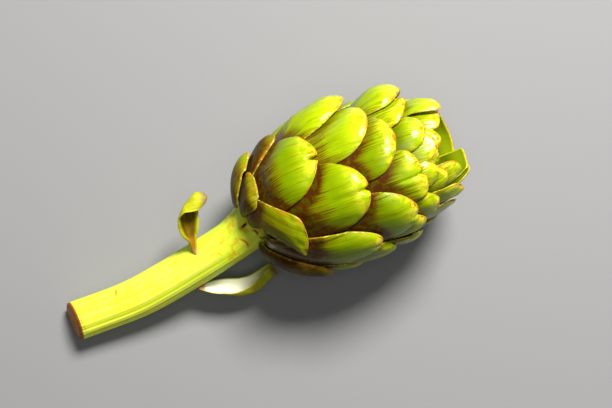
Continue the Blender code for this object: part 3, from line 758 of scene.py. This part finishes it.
def modelStem():
    settings = stemShape
    bpy.ops.mesh.primitive_cylinder_add(vertices=settings["around"], radius=1, depth=2,
                                        end_fill_type="TRIFAN")
    stem = bpy.context.active_object
    stem.name = "stem_with_heart"
    for cuts in settings["cuts"]:  # cuts only the edges that run along it
        bpy.ops.object.mode_set(mode="EDIT")
        bpy.ops.mesh.select_mode(type="EDGE")
        bpy.ops.mesh.select_all(action="DESELECT")
        bpy.ops.object.mode_set(mode="OBJECT")
        for edge in stem.data.edges:
            low, high = (stem.data.vertices[corner].co.z for corner in edge.vertices)
            edge.select = abs(low - high) > 0.5
        bpy.ops.object.mode_set(mode="EDIT")
        bpy.ops.mesh.subdivide(number_cuts=cuts)
        bpy.ops.object.mode_set(mode="OBJECT")
    bpy.ops.object.shade_smooth()
    flat = readPoints(stem.data)
    line = smoothCurve(settings["path"], settings["lineSteps"])
    reach = np.concatenate(([0], np.cumsum(np.linalg.norm(np.diff(line[:, :3], axis=0), axis=1))))
    rows = settings["along"] + settings["cutRings"]
    row = np.round((1 - flat[:, 2]) / 2 * rows)
    atCut = row > settings["along"]
    down = np.clip(row / settings["along"], 0, 1) * reach[-1]
    turn = np.arctan2(flat[:, 1], flat[:, 0])
    isPole = np.hypot(flat[:, 0], flat[:, 1]) < 0.5
    centre = np.stack([np.interp(down, reach, line[:, axis]) for axis in range(3)], 1)
    ahead = np.stack([np.interp(down + 1, reach, line[:, axis]) for axis in range(3)], 1)
    behind = np.stack([np.interp(down - 1, reach, line[:, axis]) for axis in range(3)], 1)
    forward = ahead - behind
    forward /= np.linalg.norm(forward, axis=1)[:, None]
    right = -np.cross(forward, (0, 0, 1))
    right /= np.linalg.norm(right, axis=1)[:, None]
    top = np.cross(forward, right)
    top *= np.sign(top[:, 2])[:, None]
    radius = np.interp(down, reach, line[:, 3])
    fromBase = down - np.interp(0, -line[:, 0], reach)
    ribWave = np.cos(turn * settings["ribs"] + 1.3 * np.sin(turn * 2 + 0.7)) * (0.55 + 0.45 * np.sin(turn
                                                                                                     + 0.4))
    ribs = settings["ribDepth"] * ribWave * ease(*settings["ribFrom"],
                                                 fromBase) * (0.8 + 0.2 * np.sin(down * 0.07))
    fineWave = np.cos(turn * settings["fineRibs"] + 1.1 * np.sin(turn * 3 + 0.4))
    ribs += settings["fineDepth"] * fineWave * ease(*settings["fineFrom"], fromBase)
    lumps = settings["lumpDepth"] * ripple(501, down * 0.12, turn * 1.5) * ease(*settings["lumpFrom"],
                                                                                fromBase)
    scar = np.zeros(len(flat))
    for along, angle, acrossHalf, alongHalf, depth in stemScars:
        aside = (turn - math.radians(angle) + math.pi) % (2 * math.pi) - math.pi
        bow = settings["scarBow"] * (aside * radius) ** 2
        within = (aside * radius / acrossHalf) ** 4
        mark = np.exp(-((fromBase - along - bow) / alongHalf) ** 2 - within)
        scar = np.maximum(scar, mark * min(1, depth / settings["scarFull"]))
        lipHalf = settings["lipReach"] * alongHalf  # a raised lip on the head's side of each scar
        lip = np.exp(-((fromBase - along + lipHalf) / lipHalf) ** 2 - within)
        radius = radius - depth * mark + settings["lipShare"] * depth * lip
    # the cut face closes in rings, with a rounded rim and a slightly sunken pith
    ring = np.clip((row - settings["along"]) / settings["cutRings"], 0, 1)
    closing = np.where(atCut, 1 - ring, 1)
    out = np.where(isPole, 0, (radius + ribs + lumps) * closing)
    place = centre + (np.sin(turn) * out)[:, None] * right + (np.cos(turn) * out)[:, None] * top
    rimRound = np.sqrt(np.clip(1 - (1 - np.clip(ring * 6, 0, 1)) ** 2, 0, 1))
    face = settings["rimProud"] * rimRound - settings["pithSink"] * ease(*settings["pithFrom"], ring)
    place += forward * np.where(atCut, face, 0)[:, None]
    slant = ease(settings["slantReach"], 0, reach[-1] - down)
    place[:, 0] -= (place[:, 2] - centre[:, 2]) * settings["cutSlant"] * slant
    place += headBase
    place[:, 2] = np.maximum(place[:, 2], 0)
    writePoints(stem.data, place * mm)
    bpy.ops.object.mode_set(mode="EDIT")
    bpy.ops.mesh.select_all(action="SELECT")
    bpy.ops.mesh.normals_make_consistent(inside=False)
    bpy.ops.object.mode_set(mode="OBJECT")
    cutShare = np.where(atCut, 1 - closing * 0.98, 0)
    leafPlace = np.stack((np.cos(turn) * radius, fromBase, np.sin(turn) * radius), 1)
    writeValues(stem.data, leafPlace=leafPlace, topSide=np.cos(turn), scar=scar, cutShare=cutShare,
                toCut=reach[-1] - down, ribCrest=ribWave, fineCrest=fineWave, fromHead=fromBase)
    return stem


stemLooks = {
    "rough": 0.40, "gloss": 0.14,
    "pale": (0.92, 0.93, 0.11), "green": (0.50, 0.78, 0.0), "yellow": (0.86, 0.82, 0.01),
    "line": (0.93, 0.94, 0.12),
    "brown": (0.70, 0.40, 0.01), "dark": (0.05, 0.02, 0.004), "pith": (0.52, 0.21, 0.02),
    "cutRim": (0.30, 0.08, 0.008),
}


def stemMaterial():
    made = bpy.data.materials.new("stemSkin")
    made.use_nodes = True
    tree = made.node_tree
    shader = tree.nodes["Principled BSDF"]
    shader.inputs["Roughness"].default_value = stemLooks["rough"]
    shader.inputs["Specular IOR Level"].default_value = stemLooks["gloss"]
    place = addNode(tree, "ShaderNodeAttribute", {"attribute_name": "leafPlace"}).outputs["Vector"]
    crest = readValue(tree, "ribCrest")
    topSide = readValue(tree, "topSide")
    fibres = useGroup(tree, leafStreaks, Place=place, Across=1.6, Along=0.025, Low=0.35, High=0.65)
    bands = useGroup(tree, leafStreaks, Place=place, Across=0.35, Along=0.012, Detail=2.0, Low=0.40,
                     High=0.62)
    broad = useGroup(tree, softBlotches, Place=place, Scale=0.07, Low=0.38, High=0.62)
    # pale bands are the stem's own; the paler top and rib crests are painted light, lighter where the light
    # falls
    paleAt = doMath(tree, "MULTIPLY_ADD", topSide, 0.45, doMath(tree, "MULTIPLY_ADD", crest, 0.30, 0.20))
    paleAt = doMath(tree, "MULTIPLY_ADD", bands, 0.35, paleAt)
    colour = mixColour(tree, addNode(tree, "ShaderNodeClamp", Value=paleAt).outputs[0], stemLooks["green"],
                       stemLooks["pale"])
    colour = mixColour(tree, doMath(tree, "MULTIPLY", broad, 0.5), colour, stemLooks["yellow"])
    colour = mixColour(tree, doMath(tree, "MULTIPLY", fibres, 0.30), colour, stemLooks["green"])
    fromHead = readValue(tree, "fromHead")
    # painted highlight: pale lines along the fine rib crests below the top
    lines = stretchRange(tree, readValue(tree, "fineCrest"), 0.1, 0.8)
    lineZone = doMath(tree, "MULTIPLY", stretchRange(tree, topSide, 0.90, 0.55),
                      stretchRange(tree, fromHead, 20.0, 60.0))
    colour = mixColour(tree, doMath(tree, "MULTIPLY", doMath(tree, "MULTIPLY", lines, lineZone), 0.8),
                       colour,
                       stemLooks["line"])
    nearHead = stretchRange(tree, fromHead, 48.0, 22.0)
    mottled = useGroup(tree, softBlotches, Place=place, Scale=0.16, Low=0.42, High=0.62)
    colour = mixColour(tree, doMath(tree, "MULTIPLY", doMath(tree, "MULTIPLY", mottled, nearHead), 0.42),
                       colour,
                       stemLooks["green"])
    stained = useGroup(tree, softBlotches, Place=place, Scale=0.19, Low=0.52, High=0.62)
    stainAt = doMath(tree, "MULTIPLY", stretchRange(tree, fromHead, 36.0, 22.0), stained)
    colour = mixColour(tree, doMath(tree, "MULTIPLY", stainAt, 0.62), colour, stemLooks["brown"])
    scar = readValue(tree, "scar")
    colour = mixColour(tree, stretchRange(tree, scar, 0.02, 0.4), colour, stemLooks["brown"])
    colour = mixColour(tree, stretchRange(tree, scar, 0.35, 0.85), colour, stemLooks["dark"])
    # the cut has browned at its rim and dried in the middle
    rimAt = stretchRange(tree, readValue(tree, "toCut"), 1.6, 0.3)
    colour = mixColour(tree, rimAt, colour, stemLooks["cutRim"])
    cut = readValue(tree, "cutShare")
    pithAt = stretchRange(tree, cut, 0.12, 0.34)
    colour = mixColour(tree, pithAt, colour, stemLooks["pith"])
    tree.links.new(colour, shader.inputs["Base Color"])
    grain = doMath(tree, "MULTIPLY_ADD", fibres, 0.6, bands)
    bump = addNode(tree, "ShaderNodeBump", Height=grain, Strength=0.25, Distance=0.0004)
    tree.links.new(bump.outputs[0], shader.inputs["Normal"])
    return made


stemFinish = stemMaterial()
stem = modelStem()
stem.data.materials.append(stemFinish)
settle(stem, "stem", "stem_and_heart")
print("stem grown")


# the two small leaves on the stem, from the stalk to the tip: midrib, half width, where the outer face
# looks, curl
upperLeaf = {
    "midrib": [(-36.3, -8.0, -1.0), (-35.4, -0.8, 2.0), (-35.2, 3.6, 3.2), (-34.5, 8.3, 4.6), (-33.6,
                                                                                               13.2, 7.2),
               (-31.3, 17.0, 10.6), (-26.6, 18.1, 13.2), (-20.8, 16.2, 11.8)],
    "half": [0.9, 2.2, 4.8, 6.2, 6.8, 7.0, 7.0, 6.0],
    "outer": [(-0.3, 0.3, -0.9), (-0.25, 0.2, -0.95), (-0.22, 0.1, -0.97), (-0.28, 0.15, -0.95),
              (-0.45, 0.35, -0.8),
              (-0.6, 0.7, -0.2), (-0.35, 0.65, 0.65), (0.2, 0.4, 0.9)],
    "curl": [0.5, 0.8, 0.95, 1.0, 1.05, 1.1, 1.1, 1.1],
    "thick": 1.5, "roundFrom": 0.87,
}
lowerLeaf = {
    "midrib": [(-41.5, -23.1, -11.6), (-36.7, -25.4, -14.5), (-32.1, -28.2, -17.0), (-24.6, -32.4, -19.0),
               (-17.7, -33.8, -19.4), (-12.2, -33.0, -19.0), (-6.9, -30.9, -18.6), (-3.0, -29.8, -18.0)],
    "half": [0.8, 3.7, 6.6, 8.8, 9.6, 9.4, 8.4, 7.4],
    "outer": [(0.1, -0.3, -0.95), (0.1, -0.5, -0.86), (0.1, -0.62, -0.77), (0.1, -0.70, -0.70),
              (0.1, -0.76, -0.63), (0.1, -0.82, -0.52), (0.1, -0.90, -0.38), (0.1, -0.93, -0.25)],
    "curl": [0.5, 0.9, 1.5, 1.9, 2.05, 2.15, 2.2, 2.0],
    "thick": 1.3, "roundFrom": 0.93,
}

stemLeafForm = {"steps": 200, "ahead": 0.02, "edgeThick": 0.35, "tipThick": 0.45, "tipFrom": 0.1,
                "bulge": 0.25,
                "floorGap": 0.05, "placeStep": 11.3}


def shapeStemLeaf(name, settings, blank, finish, seed):
    piece = copyPiece(blank, name, finish)
    u, v, side = blankGrid(piece.data)
    form = stemLeafForm
    line = smoothCurve(settings["midrib"], form["steps"])
    half = smoothCurve([(value,) for value in settings["half"]], form["steps"])[:, 0]
    steps = np.linspace(0, 1, form["steps"])
    tip = settings["roundFrom"]
    distance = 1 - v
    rounded = np.where(v > tip, np.sqrt(np.clip(1 - ((v - tip) / (1 - tip)) ** 2, 0.02, 1)), 1)
    width = np.interp(v, steps, half) * rounded
    centre = np.stack([np.interp(v, steps, line[:, axis]) for axis in range(3)], 1)
    after, before = np.clip(v + form["ahead"], 0, 1), np.clip(v - form["ahead"], 0, 1)
    forward = np.stack([np.interp(after, steps, line[:, axis]) - np.interp(before, steps, line[:, axis])
                        for axis in range(3)], 1)
    forward /= np.linalg.norm(forward, axis=1)[:, None]
    facings = smoothCurve(settings["outer"], form["steps"])
    outer = np.stack([np.interp(v, steps, facings[:, axis]) for axis in range(3)], 1)
    outer -= forward * (outer * forward).sum(1)[:, None]
    outer /= np.linalg.norm(outer, axis=1)[:, None]
    aside = np.cross(forward, outer)
    curl = np.interp(v, np.linspace(0, 1, len(settings["curl"])), settings["curl"])
    turn = u * curl
    bend = width / curl
    edge = (1 - np.abs(u)) * width
    thinner = np.sqrt(np.clip(1 - np.abs(u) ** 3, 0, 1))
    flesh = settings["thick"] * (form["edgeThick"] + (1 - form["edgeThick"]) * thinner)
    toTip = np.sqrt(np.clip((1 - v) / form["tipFrom"], 0, 1))
    flesh = flesh * (form["tipThick"] + (1 - form["tipThick"]) * toTip)
    isInner = side < bractForm["middleSide"]
    depth = np.where(side > bractForm["outerSide"], 0, np.where(isInner, 1, 0.5)) * flesh
    bulge = form["bulge"] * ripple(seed, u * 2, v * 7)
    facing = outer * np.cos(turn)[:, None] + aside * np.sin(turn)[:, None]
    place = centre + aside * (bend * np.sin(turn))[:, None] - outer * (bend * (1 - np.cos(turn)))[:, None]
    place += facing * (bulge - depth)[:, None]
    place += headBase
    place[:, 2] = np.maximum(place[:, 2], form["floorGap"])
    writePoints(piece.data, place * mm)
    length = np.linalg.norm(np.diff(line, axis=0), axis=1).sum()
    leafPlace = np.stack((u * width, distance * length, np.full(len(u), seed * form["placeStep"])), 1)
    writeValues(piece.data, leafPlace=leafPlace, rimDistance=edge, tipShare=v,
                inside=isInner.astype(float))
    return piece


stemLeafLooks = {
    "rough": 0.4, "gloss": 0.16,
    "olive": (0.36, 0.38, 0.004), "yellow": (0.66, 0.64, 0.01), "brown": (0.125, 0.042, 0.002),
    "cream": (0.95, 0.94, 0.74), "tipBrown": (0.26, 0.17, 0.06), "pink": (0.62, 0.26, 0.18),
    "stalk": (0.36, 0.15, 0.008),
}


def stemLeafMaterial(name, insideColour, innerBrownShare, outerShade, stalkTo):
    made = bpy.data.materials.new(name)
    made.use_nodes = True
    tree = made.node_tree
    shader = tree.nodes["Principled BSDF"]
    shader.inputs["Roughness"].default_value = stemLeafLooks["rough"]
    shader.inputs["Specular IOR Level"].default_value = stemLeafLooks["gloss"]
    place = addNode(tree, "ShaderNodeAttribute", {"attribute_name": "leafPlace"}).outputs["Vector"]
    upAt = readValue(tree, "tipShare")
    fibres = useGroup(tree, leafStreaks, Place=place, Across=2.0, Along=0.06, Low=0.35, High=0.65)
    broad = useGroup(tree, softBlotches, Place=place, Scale=0.2, Low=0.38, High=0.62)
    outerColour = mixColour(tree, doMath(tree, "MULTIPLY_ADD", broad, 0.5, doMath(tree, "MULTIPLY",
                                                                                  fibres, 0.3)),
                            stemLeafLooks["olive"], stemLeafLooks["yellow"])
    outerColour = mixColour(tree, doMath(tree, "MULTIPLY", broad, outerShade), outerColour,
                            stemLeafLooks["brown"])
    innerColour = mixColour(tree, stretchRange(tree, upAt, 0.55, 0.95), insideColour,
                            stemLeafLooks["olive"])
    # the inner face turns brown away from its rim
    brownAt = doMath(tree, "MULTIPLY", doMath(tree, "MULTIPLY_ADD", fibres, 0.3, 0.7), innerBrownShare)
    brownAt = doMath(tree, "MULTIPLY", brownAt, stretchRange(tree, readValue(tree, "rimDistance"), 0.3,
                                                             2.2))
    innerColour = mixColour(tree, brownAt, innerColour, stemLeafLooks["brown"])
    colour = mixColour(tree, readValue(tree, "inside"), outerColour, innerColour)
    colour = mixColour(tree, stretchRange(tree, upAt, stalkTo, 0.5 * stalkTo), colour,
                       stemLeafLooks["stalk"])
    colour = mixColour(tree, stretchRange(tree, upAt, 0.10, 0.03), colour, stemLeafLooks["pink"])
    colour = mixColour(tree, stretchRange(tree, upAt, 0.90, 0.985), colour, stemLeafLooks["tipBrown"])
    rim = stretchRange(tree, readValue(tree, "rimDistance"), 0.5, 0.1)
    colour = mixColour(tree, doMath(tree, "MULTIPLY", rim, 0.4), colour, stemLeafLooks["yellow"])
    tree.links.new(colour, shader.inputs["Base Color"])
    bump = addNode(tree, "ShaderNodeBump", Height=fibres, Strength=0.35, Distance=0.0004)
    tree.links.new(bump.outputs[0], shader.inputs["Normal"])
    return made


upperFinish = stemLeafMaterial("upperLeafSkin", stemLeafLooks["olive"], 1.0, 0.15, 0.26)
lowerFinish = stemLeafMaterial("lowerLeafSkin", stemLeafLooks["cream"], 0.0, 0.6, 0.07)
upper = shapeStemLeaf("upper_stem_leaf_blade", upperLeaf, bractBlank, upperFinish, 31)
lower = shapeStemLeaf("lower_stem_leaf_blade", lowerLeaf, bractBlank, lowerFinish, 47)
settle(upper, "stem_leaf", "upper_stem_leaf")
settle(lower, "stem_leaf", "lower_stem_leaf")
print("stem leaves shaped")


studio = {
    "floorSize": 3.0, "floorColour": (0.255, 0.255, 0.26), "floorRough": 0.85,
    "lens": 72.94, "roll": 20.0, "cameraOver": (21.264, -2.685, 589.0), "clipStart": 0.01,
    "lightTarget": (0.02, 0, 0.03), "roomColour": (0.75, 0.78, 0.82), "roomLight": 0.08,
}
lamps = {
    "keyLight": {"place": (0.48, 0.52, 0.95), "size": 0.36, "power": 29, "colour": (1.0, 0.98, 0.94)},
    "fillLight": {"place": (0.05, -0.15, 1.3), "size": 0.8, "power": 3, "colour": (1.0, 1.0, 1.0)},
}


def makeFloor():
    bpy.ops.mesh.primitive_plane_add(size=studio["floorSize"], location=(0, 0, 0))
    floor = bpy.context.active_object
    floor.name = "studioFloor"
    made = bpy.data.materials.new("palePaper")
    made.use_nodes = True
    shader = made.node_tree.nodes["Principled BSDF"]
    shader.inputs["Base Color"].default_value = (*studio["floorColour"], 1)
    shader.inputs["Roughness"].default_value = studio["floorRough"]
    floor.data.materials.append(made)


def addLight(name, settings):
    lamp = bpy.data.lights.new(name, "AREA")
    lamp.shape = "DISK"
    lamp.size = settings["size"]
    lamp.energy = settings["power"]
    lamp.color = settings["colour"]
    light = bpy.data.objects.new(name, lamp)
    bpy.context.scene.collection.objects.link(light)
    light.location = settings["place"]
    aim = Vector(studio["lightTarget"]) - Vector(settings["place"])
    light.rotation_euler = aim.to_track_quat("-Z", "Y").to_euler()


def lightRoom():
    world = bpy.data.worlds.new("studioRoom")
    world.use_nodes = True
    background = world.node_tree.nodes["Background"]
    background.inputs[0].default_value = (*studio["roomColour"], 1)
    background.inputs[1].default_value = studio["roomLight"]
    bpy.context.scene.world = world
    bpy.context.scene.view_settings.view_transform = "Standard"


def makeCamera():
    camera = bpy.data.objects.new("studioCamera", bpy.data.cameras.new("studioCamera"))
    bpy.context.scene.collection.objects.link(camera)
    camera.data.lens = studio["lens"]
    camera.data.clip_start = studio["clipStart"]
    camera.location = Vector(headBase * mm) + Vector(studio["cameraOver"]) * mm
    camera.rotation_euler = (0, 0, math.radians(-studio["roll"]))
    bpy.context.scene.camera = camera


makeFloor()
for name, settings in lamps.items():
    addLight(name, settings)
lightRoom()
makeCamera()
bpy.data.objects.remove(bractBlank)
bpy.data.objects.remove(youngBlank)
print("floor, lights and camera set")
